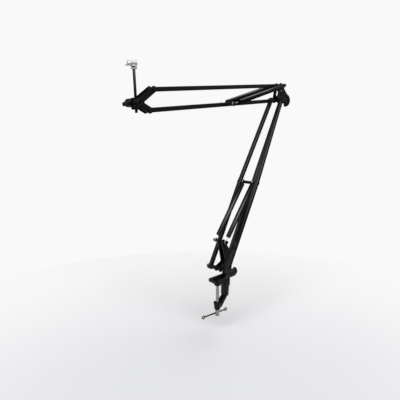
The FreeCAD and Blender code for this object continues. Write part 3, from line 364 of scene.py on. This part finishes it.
FINISHES = {
    "black_paint": dict(
        dark=grey(0.002), light=grey(0.004), rough=0.24, spread=0.03,
        grain=0.0009, patch=0.03, lift=0.000006, specular=0.4,
    ),
    "black_casting": dict(
        dark=grey(0.002), light=grey(0.004), rough=0.2, spread=0.03,
        grain=0.0016, patch=0.02, lift=0.00002, specular=0.14,
    ),
    "black_plastic": dict(
        dark=grey(0.009, -0.1), light=grey(0.015, -0.1), rough=0.36, spread=0.04,
        grain=0.0005, patch=0.02, lift=0.00002, specular=0.3,
    ),
    "black_sleeve": dict(
        dark=grey(0.002), light=grey(0.004), rough=0.25, spread=0.03,
        grain=0.0007, patch=0.03, lift=0.000002, specular=0.28,
    ),
    "black_nylon": dict(
        dark=grey(0.004), light=grey(0.008), rough=0.5, spread=0.05,
        grain=0.0006, patch=0.01, lift=0.00003, specular=0.15,
    ),
    "black_rubber": dict(
        dark=grey(0.005), light=grey(0.009), rough=0.75, spread=0.06,
        grain=0.0008, patch=0.01, lift=0.0001, specular=0.15,
    ),
    "black_steel": dict(
        dark=grey(0.008), light=grey(0.016), rough=0.27, spread=0.05,
        grain=0.0006, patch=0.008, lift=0.00002, metallic=0.8,
    ),
    "nickel": dict(
        dark=grey(0.24, 0.1), light=grey(0.36, 0.08), rough=0.2, spread=0.05,
        grain=0.0005, patch=0.006, lift=0.00001, metallic=1.0,
    ),
    "dark_nickel": dict(
        dark=grey(0.06, 0.12), light=grey(0.1, 0.1), rough=0.14, spread=0.03,
        grain=0.0005, patch=0.006, lift=0.000005, metallic=1.0,
    ),
    "zinc": dict(
        dark=grey(0.5, 0.03), light=grey(0.66, 0.02), rough=0.3, spread=0.05,
        grain=0.0004, patch=0.006, lift=0.000002, metallic=0.7,
    ),
    "chrome": dict(
        dark=grey(0.035, 0.15), light=grey(0.055, 0.12), rough=0.16, spread=0.04,
        grain=0.0006, patch=0.02, lift=0.000005, stretch=(1, 1, 0.1), metallic=1.0,
    ),
    "spring_steel": dict(
        dark=grey(0.25), light=grey(0.35), rough=0.28, spread=0.05,
        grain=0.0004, patch=0.01, lift=0.000005, metallic=1.0,
    ),
}
finishes = {slot: finish(slot, **look) for slot, look in FINISHES.items()}
print(len(finishes), "finishes")

# %% [markdown]
# Every solid of the frame gets the finish that its place in the parts list asks for; only the washers at the
# base are brighter than the black steel of their slot. Real sheet, tube and castings have no razor edges, so
# each solid also gets a small bevel: a weld joins its loose triangles, a planar decimate turns each flat side
# back into one face, and the bevel then rounds only the sharp edges. As modifiers, these leave the mesh itself
# as it came.

# %% Dress the solids
MM = 0.001
WELD_GAP = 0.002
FLAT_ANGLE = 0.6
EDGE_ANGLE = 32
EDGE_SEGMENTS = 2
PLAIN_EDGE = 0.25
EDGE_WIDTHS = {"clamp_frame": 0.8, "base_bracket": 0.3, "rod_clamp_block": 0.4, "jaw_pad": 0.3}
OWN_FINISHES = {"base_bolt_washers": "nickel"}
slot_of = {s["node"]: s["material_slot"] for s in frame["record"]["subparts"]}


def soften(piece, width):
    """Rounds the sharp edges of a piece with modifiers."""
    weld = piece.modifiers.new("weld", "WELD")
    weld.merge_threshold = WELD_GAP * MM
    flats = piece.modifiers.new("flats", "DECIMATE")
    flats.decimate_type = "DISSOLVE"
    flats.angle_limit = math.radians(FLAT_ANGLE)
    bevel = piece.modifiers.new("bevel", "BEVEL")
    bevel.width = width
    bevel.segments = EDGE_SEGMENTS
    bevel.limit_method = "ANGLE"
    bevel.angle_limit = math.radians(EDGE_ANGLE)


for name, piece in nodes.items():
    look = finishes[OWN_FINISHES.get(name, slot_of[name])]
    for material_slot in piece.material_slots:
        material_slot.material = look
    if not piece.material_slots:
        piece.data.materials.append(look)
    soften(piece, EDGE_WIDTHS.get(name, PLAIN_EDGE) * MM)
print("dressed", len(nodes), "solids")

# %% [markdown]
# Some pieces have more form than their solids: knobs, wires, threads and sockets. Each is a bmesh, built in
# millimetres round its own middle, then set in place by one matrix. A new piece hides its solid, moves with
# its body and takes its finish, unless it is given another look. One helper does that for all of them.

# %% From a bmesh to a piece
MERGE_GAP = 0.004
PLAIN_SHARP = 38
body_of = {n: b for b, group in frame["record"]["behaviour"]["bodies"].items() for n in group}


def add_piece(shape, node, sharp=PLAIN_SHARP, look=None):
    """Makes a mesh object of a bmesh; it stands for one solid of the frame."""
    bmesh.ops.remove_doubles(shape, verts=shape.verts, dist=MERGE_GAP * MM)
    bmesh.ops.recalc_face_normals(shape, faces=shape.faces)
    mesh = bpy.data.meshes.new(node + "_look")
    shape.to_mesh(mesh)
    shape.free()
    mesh.shade_smooth()
    mesh.set_sharp_from_angle(angle=math.radians(sharp))
    mesh.materials.append(finishes[look or slot_of[node]])
    piece = bpy.data.objects.new(node + "_look", mesh)
    bpy.context.scene.collection.objects.link(piece)
    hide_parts(node)
    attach(piece, body_of[node])
    print(piece.name, len(mesh.polygons), "faces")


print(len(body_of), "nodes have a body to ride on")

# %% [markdown]
# A wing knob is a half-moon, held between finger and thumb. Its outline is two straight sides and an arc. The
# arc's points could be worked out one by one, but spin does it: it sweeps one vertex round the arc's middle.

# %% Outline of a knob
KNOB_SPAN = 25.0
KNOB_DEPTH = 14.5
KNOB_BACK = 2.5
KNOB_SHOULDER = 7.0
ARC_STEPS = 40
ARC_RISE = KNOB_DEPTH - KNOB_SHOULDER
ARC_RADIUS = ((KNOB_SPAN / 2) ** 2 + ARC_RISE ** 2) / (2 * ARC_RISE)
ARC_MIDDLE = KNOB_DEPTH - ARC_RADIUS
ARC_HALF_ANGLE = math.asin(KNOB_SPAN / 2 / ARC_RADIUS)


def half_moon(shape, height):
    """The closed outline of the wing at one height, as edges."""
    half = KNOB_SPAN / 2
    right = shape.verts.new((half, height, KNOB_SHOULDER))
    swept = bmesh.ops.spin(
        shape, geom=[right], cent=(0, 0, ARC_MIDDLE), axis=(0, 1, 0),
        angle=-2 * ARC_HALF_ANGLE, steps=ARC_STEPS,
    )
    left = [g for g in swept["geom_last"] if isinstance(g, bmesh.types.BMVert)][0]
    feet = [shape.verts.new((side * half, height, KNOB_BACK)) for side in (1, -1)]
    shape.edges.new((right, feet[0]))
    shape.edges.new(feet)
    shape.edges.new((feet[1], left))


print("arc of a knob: radius", round(ARC_RADIUS, 2), "mm")

# %% [markdown]
# Two copies of the outline are bridged to a slab, and two insets on each side sink the web inside the rim. A
# slightly tapered hub joins the slab to the bolt, as a mould would ask for, and a bevel rounds every edge that
# a finger would feel.

# %% Wing of a knob
KNOB_THICKNESS = 5.0
KNOB_RIM = 2.1
KNOB_DRAFT = 0.5
KNOB_RECESS = 1.3
KNOB_EDGE = 0.5
KNOB_EDGE_ANGLE = 35
KNOB_EDGE_SEGMENTS = 3
HUB_RADIUS = 6.5
HUB_HEIGHT = 11.0
HUB_DRAFT = 0.4
HUB_SIDES = 48


def upright_cylinder(shape, radius, bottom, top, sides, top_radius=None):
    """A cylinder or cone about the Z axis between two heights."""
    bmesh.ops.create_cone(
        shape, cap_ends=True, segments=sides, radius1=radius,
        radius2=radius if top_radius is None else top_radius, depth=top - bottom,
        matrix=Matrix.Translation((0, 0, (bottom + top) / 2)),
    )


def wing(shape):
    """The slab of a knob with its sunk web and its hub, all edges rounded."""
    half_moon(shape, -KNOB_THICKNESS / 2)
    low = shape.edges[:]
    half_moon(shape, KNOB_THICKNESS / 2)
    high = [e for e in shape.edges if e not in low]
    bmesh.ops.bridge_loops(shape, edges=shape.edges[:])
    caps = [bmesh.ops.edgeloop_fill(shape, edges=loop)["faces"][0] for loop in (low, high)]
    bmesh.ops.recalc_face_normals(shape, faces=shape.faces)
    for thickness, depth in ((KNOB_RIM, 0.0), (KNOB_DRAFT, -KNOB_RECESS)):
        bmesh.ops.inset_individual(shape, faces=caps, thickness=thickness, depth=depth, use_even_offset=True)
    upright_cylinder(shape, HUB_RADIUS, 0, HUB_HEIGHT, HUB_SIDES, HUB_RADIUS - HUB_DRAFT)
    sharp_angle = math.radians(KNOB_EDGE_ANGLE)
    sharp = [e for e in shape.edges if e.is_manifold and e.calc_face_angle() > sharp_angle]
    bmesh.ops.bevel(
        shape, geom=sharp, offset=KNOB_EDGE, offset_type="OFFSET", segments=KNOB_EDGE_SEGMENTS,
        profile=0.5, affect="EDGES", clamp_overlap=True, material=-1,
    )


print("knob of", KNOB_SPAN, "x", KNOB_THICKNESS, "mm")

# %% [markdown]
# Small round ribs across the rim give the fingers a hold. They are thin cylinders, half sunk into the rim, which
# is quicker than cutting grooves. Three knobs sit on the arm: at the base, the elbow and the head. Each stands
# on its joint and is turned about its bolt.

# %% Wing knobs
RIBS = 19
RIB_RADIUS = 0.45
RIB_SIDES = 10
RIB_MARGIN = 0.8
RIB_SHARE = 0.92
joints = {j["name"]: j for j in frame["record"]["behaviour"]["joints"]}


def pivot(name):
    """The place of a joint, in metres."""
    return Vector(joints[name]["pos_m"])


def wing_knob(node, side, turn):
    """A knob on a bolt's end, with its wing turned by an angle about the bolt."""
    shape = bmesh.new()
    wing(shape)
    for k in range(RIBS):
        angle = ARC_HALF_ANGLE * RIB_SHARE * (2 * k / (RIBS - 1) - 1)
        spot = Vector((ARC_RADIUS * math.sin(angle), 0, ARC_MIDDLE + ARC_RADIUS * math.cos(angle)))
        bmesh.ops.create_cone(
            shape, cap_ends=True, segments=RIB_SIDES, radius1=RIB_RADIUS, radius2=RIB_RADIUS,
            depth=KNOB_THICKNESS - 2 * RIB_MARGIN,
            matrix=Matrix.Translation(spot) @ Matrix.Rotation(math.pi / 2, 4, "X"),
        )
    lowest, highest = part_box(node)
    seat = pivot(node + "_turn")
    seat.y = lowest.y if side > 0 else highest.y
    place = (
        Matrix.Translation(seat) @ Matrix.Rotation(math.radians(90 + turn), 4, "Y")
        @ Matrix.Rotation(math.radians(-90 * side), 4, "X") @ Matrix.Scale(MM, 4)
    )
    bmesh.ops.transform(shape, matrix=place, verts=shape.verts)
    add_piece(shape, node)


wing_knob("base_knob", side=-1, turn=68)
wing_knob("elbow_knob", side=-1, turn=-4)
wing_knob("head_knob", side=1, turn=79)

# %% [markdown]
# The springs are close-wound wire with an eye at one end. A wire is a small circle swept along its path: all
# the way round the pin for an eye, and for the coil many times round with a step along the axis each time,
# which makes a screw line. A curve with a round profile would do too, but it would have to be made a mesh later.

# %% Wire
WIRE = 0.8
WIRE_SIDES = 12
EYE_STEPS = 40
COIL_RADIUS = 2.4
COIL_START = 8.5
COIL_STEPS = 14
COIL_SIDES = 8


def edges_of(ring):
    """The edges at the vertices of a ring, each once."""
    return list(dict.fromkeys(e for v in ring for e in v.link_edges))


def wire_eye(shape, bend, wire=WIRE):
    """A closed ring of wire about the Y axis."""
    ring = bmesh.ops.create_circle(
        shape, segments=WIRE_SIDES, radius=wire, matrix=Matrix.Translation((bend, 0, 0))
    )["verts"]
    bmesh.ops.spin(
        shape, geom=ring + edges_of(ring), cent=(0, 0, 0), axis=(0, 1, 0), angle=2 * math.pi,
        steps=EYE_STEPS, use_merge=True,
    )


def coil(shape, last):
    """A close-wound coil about the Z axis."""
    turns = int((last - COIL_START) / (2 * WIRE))
    spot = Matrix.Translation((COIL_RADIUS, 0, COIL_START + WIRE)) @ Matrix.Rotation(math.pi / 2, 4, "X")
    ring = bmesh.ops.create_circle(shape, cap_ends=True, segments=COIL_SIDES, radius=WIRE, matrix=spot)["verts"]
    bmesh.ops.spin(
        shape, geom=ring + edges_of(ring), cent=(0, 0, 0), axis=(0, 0, 1),
        dvec=(0, 0, 2 * WIRE / COIL_STEPS), angle=2 * math.pi * turns, steps=COIL_STEPS * turns,
    )


print("wire of", 2 * WIRE, "mm, wound to", 2 * (COIL_RADIUS + WIRE), "mm")

# %% [markdown]
# Each arm has two springs, and a long hook carries the far end of each. The coils hide in the sleeves, but eyes
# and hooks show, and so does the wire between them. Spring and hook are built from their own pin towards the
# other one, so both lie on one line. The hooks take the springs' finish, because their steel looks the same.

# %% Springs and hooks
WIRE_SHARP = 60
STRETCH_ROOM = 18.0


def along(start, end):
    """A matrix from millimetres to a place at start, with Z towards end and Y across the arm."""
    forward = (end - start).normalized()
    across = Vector((0, 1, 0))
    turn = Matrix((across.cross(forward), across, forward)).transposed().to_4x4()
    return Matrix.Translation(start) @ turn @ Matrix.Scale(MM, 4)


def merge_at(shape, extra, place):
    """Moves one bmesh into place and adds it to another."""
    bmesh.ops.transform(extra, matrix=place, verts=extra.verts)
    mesh = bpy.data.meshes.new("moved")
    extra.to_mesh(mesh)
    extra.free()
    shape.from_mesh(mesh)
    bpy.data.meshes.remove(mesh)


def spring_pair(arm, spring_bend, hook_bend, hook_length):
    """Both springs of an arm and their hooks."""
    sleeve = arm + "_sleeve_far"
    lowest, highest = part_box(sleeve)
    offset = abs(lowest.y + highest.y) / 2
    pin, hook_pin = pivot(arm + "_sleeve_swing"), pivot(arm + "_hook_swing")
    span = (hook_pin - pin).length / MM
    springs, hooks = bmesh.new(), bmesh.new()
    for side in (1, -1):
        shift = Vector((0, side * offset, 0))
        spring = bmesh.new()
        wire_eye(spring, spring_bend)
        upright_cylinder(spring, WIRE, spring_bend, COIL_START + WIRE, WIRE_SIDES)
        coil(spring, span - hook_length - STRETCH_ROOM)
        merge_at(springs, spring, along(pin + shift, hook_pin + shift))
        hook = bmesh.new()
        wire_eye(hook, hook_bend)
        upright_cylinder(hook, WIRE, hook_bend, hook_length, WIRE_SIDES)
        merge_at(hooks, hook, along(hook_pin + shift, pin + shift))
    add_piece(springs, arm + "_springs", WIRE_SHARP)
    add_piece(hooks, arm + "_spring_hooks", WIRE_SHARP, "spring_steel")


spring_pair("lower", spring_bend=4.0, hook_bend=3.0, hook_length=28.0)
spring_pair("upper", spring_bend=3.0, hook_bend=3.0, hook_length=36.0)

# %% [markdown]
# The bar of the clamp screw is stout wire, bent to an eye at each end so that it can't slip out of the head.
# It is a cylinder and two swept rings, from the same helpers as the springs. The bar lies askew to the arm, so
# it is built along its own slide. Its plating is darker than the screw's.

# %% Sliding bar
BAR_RADIUS = 1.5
BAR_SIDES = 24
BAR_HALF_SPAN = 28.25
EYE_RADIUS = 2.7
EYE_WIRE = 1.2
lowest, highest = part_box("tommy_bar")
middle = (lowest + highest) / 2
bar_way = Vector(joints["bar_slide"]["axis"])
bar_up = Vector((0, 0, 1))
bar_turn = Matrix((bar_way, bar_up.cross(bar_way), bar_up)).transposed().to_4x4() @ Matrix.Scale(MM, 4)
bar = bmesh.new()
rod = bmesh.new()
upright_cylinder(rod, BAR_RADIUS, EYE_RADIUS - BAR_HALF_SPAN, BAR_HALF_SPAN - EYE_RADIUS, BAR_SIDES)
merge_at(bar, rod, Matrix.Translation(middle) @ bar_turn @ Matrix.Rotation(math.pi / 2, 4, "Y"))
for side in (1, -1):
    eye = bmesh.new()
    wire_eye(eye, EYE_RADIUS, EYE_WIRE)
    spot = middle + bar_way * (side * BAR_HALF_SPAN * MM)
    merge_at(bar, eye, Matrix.Translation(spot) @ bar_turn)
add_piece(bar, "tommy_bar", WIRE_SHARP, "dark_nickel")

# %% [markdown]
# The clamp screw keeps its solid's head and neck, because the head has the cross hole of the bar. Only the
# smooth shank goes, to make room for a thread. Its faces are found by their distance from the screw's axis.

# %% Clamp screw without its shank
SCREW_RADIUS = 3.0
SHANK_GAP = 0.02
SHANK_TILT = 0.5
COPY_GAP = 0.002
screw_axis = pivot("screw_turn")


def solid_copy(node):
    """A bmesh copy of a solid, with the doubled points of its triangles merged."""
    shape = bmesh.new()
    shape.from_mesh(nodes[node].data)
    bmesh.ops.remove_doubles(shape, verts=shape.verts, dist=COPY_GAP * MM)
    return shape


def on_shank(vertex):
    """True for a vertex at the shank's radius."""
    reach = math.hypot(vertex.co.x - screw_axis.x, vertex.co.y - screw_axis.y)
    return abs(reach - SCREW_RADIUS * MM) < SHANK_GAP * MM


screw = solid_copy("clamp_screw")
shank = [f for f in screw.faces if all(on_shank(v) for v in f.verts) and abs(f.normal.z) < SHANK_TILT]
heights = [v.co.z / MM for f in shank for v in f.verts]
bottom, top = min(heights), max(heights)
bmesh.ops.delete(screw, geom=shank, context="FACES")
print("shank from", round(bottom, 1), "to", round(top, 1), "mm taken off")

# %% [markdown]
# A real thread takes the shank's place: one V of it, spun up the screw with a step per turn, round a plain core.
# A bump map would be lighter, but the thread also shows in the outline. A plain collar hides each end.

# %% Thread
SCREW_SIDES = 40
SCREW_SHARP = 30
THREAD_DEPTH = 0.55
THREAD_PITCH = 1.0
THREAD_STEPS = 28
PLAIN_TURNS = 2
COLLAR = 1.2 * THREAD_PITCH
thread = bmesh.new()
root = SCREW_RADIUS - THREAD_DEPTH
ridge = [
    thread.verts.new((root, 0, bottom)),
    thread.verts.new((SCREW_RADIUS, 0, bottom + THREAD_PITCH / 2)),
    thread.verts.new((root, 0, bottom + THREAD_PITCH)),
]
lines = [thread.edges.new(ridge[:2]), thread.edges.new(ridge[1:])]
turns = int((top - bottom) / THREAD_PITCH) - PLAIN_TURNS
bmesh.ops.spin(
    thread, geom=ridge + lines, cent=(0, 0, 0), axis=(0, 0, 1), dvec=(0, 0, THREAD_PITCH / THREAD_STEPS),
    angle=2 * math.pi * turns, steps=THREAD_STEPS * turns,
)
upright_cylinder(thread, root, bottom, top, SCREW_SIDES)
for height in (bottom, top - COLLAR):
    upright_cylinder(thread, SCREW_RADIUS, height, height + COLLAR, SCREW_SIDES)
merge_at(screw, thread, Matrix.Translation((screw_axis.x, screw_axis.y, 0)) @ Matrix.Scale(MM, 4))
add_piece(screw, "clamp_screw", SCREW_SHARP)

# %% [markdown]
# The bolts have hexagon sockets in their round heads. A boolean could cut them, but built face by face the rim
# of the head stays as it is. The flat end of the head is dissolved to one face and taken off, and the ring
# between its rim and a hexagon is filled again. The hexagon's edges are then pushed in and closed.

# %% Socket in a head
SOCKET_DEPTH = 1.5
HEAD_REACH = 8
END_GAP = 0.02
END_FACING = 0.99


def sink_socket(shape, spot, side, across):
    """Sinks a hexagon socket into the end of a bolt head that looks along Y."""
    outward = Vector((0, side, 0))
    ends = [
        f for f in shape.faces
        if f.normal.dot(outward) > END_FACING and abs(f.calc_center_median().y - spot.y) < END_GAP * MM
        and (f.calc_center_median() - spot).length < HEAD_REACH * MM
    ]
    cap = bmesh.ops.dissolve_faces(shape, faces=ends)["region"]
    rim = list(cap[0].edges)
    bmesh.ops.delete(shape, geom=cap, context="FACES_ONLY")
    hexagon = bmesh.ops.create_circle(
        shape, segments=6, radius=across / math.sqrt(3) * MM,
        matrix=Matrix.Translation(spot) @ Matrix.Rotation(math.pi / 2, 4, "X"),
    )["verts"]
    sides = edges_of(hexagon)
    bmesh.ops.triangle_fill(shape, use_beauty=True, edges=rim + sides)
    walls = bmesh.ops.extrude_edge_only(shape, edges=sides)["geom"]
    floor_corners = [g for g in walls if isinstance(g, bmesh.types.BMVert)]
    bmesh.ops.translate(shape, verts=floor_corners, vec=outward * (-SOCKET_DEPTH * MM))
    bmesh.ops.contextual_create(shape, geom=floor_corners)


print("sockets", SOCKET_DEPTH, "mm deep")

# %% [markdown]
# Six nodes of bolts get sockets. A head lies at one end of its bolt, so the bolt's box says how far out it sits,
# and the joint that the bolt carries gives its place. Where no joint stands on a bolt, the two parallelograms
# of the arm give it: opposite sides are equal.

# %% Bolts
def socket_bolts(node, spots, side, across):
    """A node of bolts, each with a socket in its head on one side."""
    shape = solid_copy(node)
    lowest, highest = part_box(node)
    for spot in spots:
        sink_socket(shape, Vector((spot.x, highest.y if side > 0 else lowest.y, spot.z)), side, across)
    add_piece(shape, node)


base, rear, elbow = pivot("lower_arm_swing"), pivot("middle_bar_swing"), pivot("upper_arm_swing")
head_low = pivot("head_keep")
head_top = head_low + pivot("top_bar_swing") - elbow
socket_bolts("base_pivot_bolt", [base], side=1, across=3.0)
socket_bolts("elbow_pivot_bolt", [elbow], side=1, across=3.0)
socket_bolts("base_rear_bolt", [rear], side=-1, across=2.5)
socket_bolts("elbow_rear_bolt", [elbow + rear - base], side=-1, across=2.5)
socket_bolts("head_bolts", [head_low, head_top], side=-1, across=2.5)
socket_bolts("rod_clamp_bolt", [pivot("rod_tilt")], side=-1, across=5.0)
